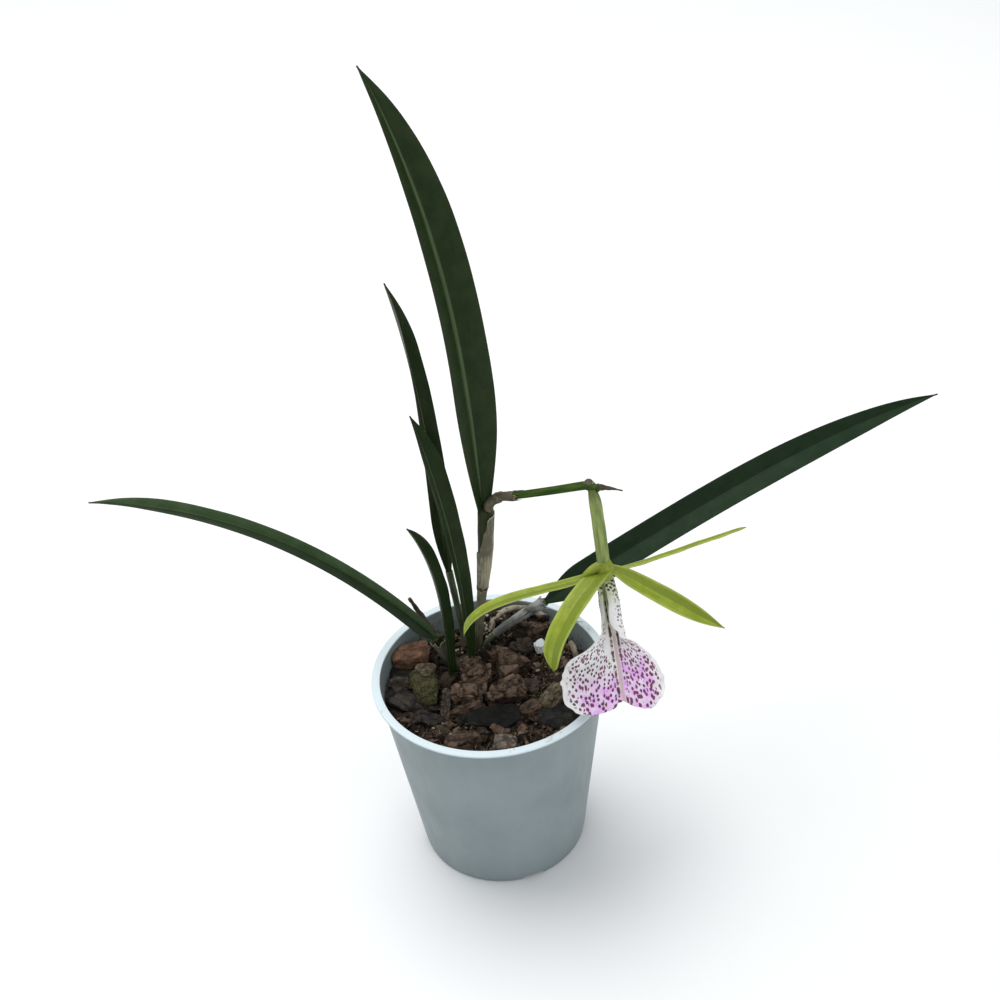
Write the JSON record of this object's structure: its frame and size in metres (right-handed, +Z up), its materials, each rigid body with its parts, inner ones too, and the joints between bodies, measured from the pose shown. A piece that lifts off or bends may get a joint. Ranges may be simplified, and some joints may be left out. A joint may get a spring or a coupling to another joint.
{
  "type": "potted brassocattleya orchid",
  "caption": "Orchid plant with long leathery leaves and a hanging flower with a spotted lip, growing in bark in a tapered plastic pot.",
  "frame": {"origin": "centre of the pot's underside, on the surface that it stands on", "axes": "+Z up, -Y to the front, where the lip of the flower faces, +X to the flower's side"},
  "size_m": [0.4397, 0.1562, 0.3979],
  "materials": {
    "pot": "smooth blue-grey moulded plastic, satin, faintly mottled",
    "bark_dark": "dark damp bark chips and fines, rough",
    "bark_red": "red-brown bark, rough and fibrous",
    "bark_brown": "brown crumbly bark, rough",
    "bark_black": "black charred bark in layers, with a slight sheen",
    "bark_olive": "olive-brown bark with moss, rough",
    "perlite": "white porous crumb",
    "green_stem": "smooth green stem",
    "leaf": "very dark green leathery leaf with a soft gloss and a pale midrib",
    "dry_sheath": "dry papery sheath, grey-tan with long fibres",
    "silver_sheath": "smooth papery sheath, silver-grey",
    "root": "pale beige root skin",
    "dry_brown": "dried brown plant tissue",
    "flower_stalk": "smooth mid green stalk",
    "ovary": "grooved yellow-green ovary, softly glossy",
    "tepal": "waxy yellow-green petal with paler margins and fine flecks",
    "lip": "white lip with maroon spots and a lilac flush, crinkled margin"
  },
  "bodies": {
    "root": {"pot": "pot", "bark_bed": "bark_dark", "rhizome": "green_stem", "pseudobulb_a": "green_stem", "stem_b": "green_stem", "stem_c": "green_stem", "stem_d": "green_stem", "stem_e": "green_stem", "stem_f": "green_stem", "leaf_a": "leaf", "leaf_b": "leaf", "leaf_c": "leaf", "leaf_d": "leaf", "leaf_e": "leaf", "leaf_f": "leaf", "sheath_a": "dry_sheath", "sheath_e": "dry_sheath", "sheath_f": "silver_sheath", "aerial_root_a": "root", "aerial_root_b": "root", "aerial_root_c": "root", "dead_stub": "dry_brown", "chip_red_round": "bark_red", "chip_mossy": "bark_olive", "chip_slab_upper": "bark_black", "chip_slab_lower": "bark_black", "chip_black_left": "bark_black", "chip_sliver_upright": "bark_brown", "chip_sliver_long": "bark_red", "clump_upper_left": "bark_brown", "clump_upper_right": "bark_brown", "clump_lower_left": "bark_brown", "clump_lower_right": "bark_brown", "chip_black_hollow": "bark_black", "chip_red_front": "bark_red", "chip_grey_front": "bark_brown", "chip_black_slab": "bark_black", "chip_olive": "bark_olive", "chip_back": "bark_brown", "perlite": "perlite", "flower_stalk": "flower_stalk", "stalk_bract": "dry_brown", "dried_tip": "dry_brown", "ovary": "ovary", "column": "ovary", "sepal_front": "tepal", "sepal_right": "tepal", "sepal_back": "tepal", "petal_left": "tepal", "petal_right": "tepal", "lip": "lip"}
  },
  "joints": []
}
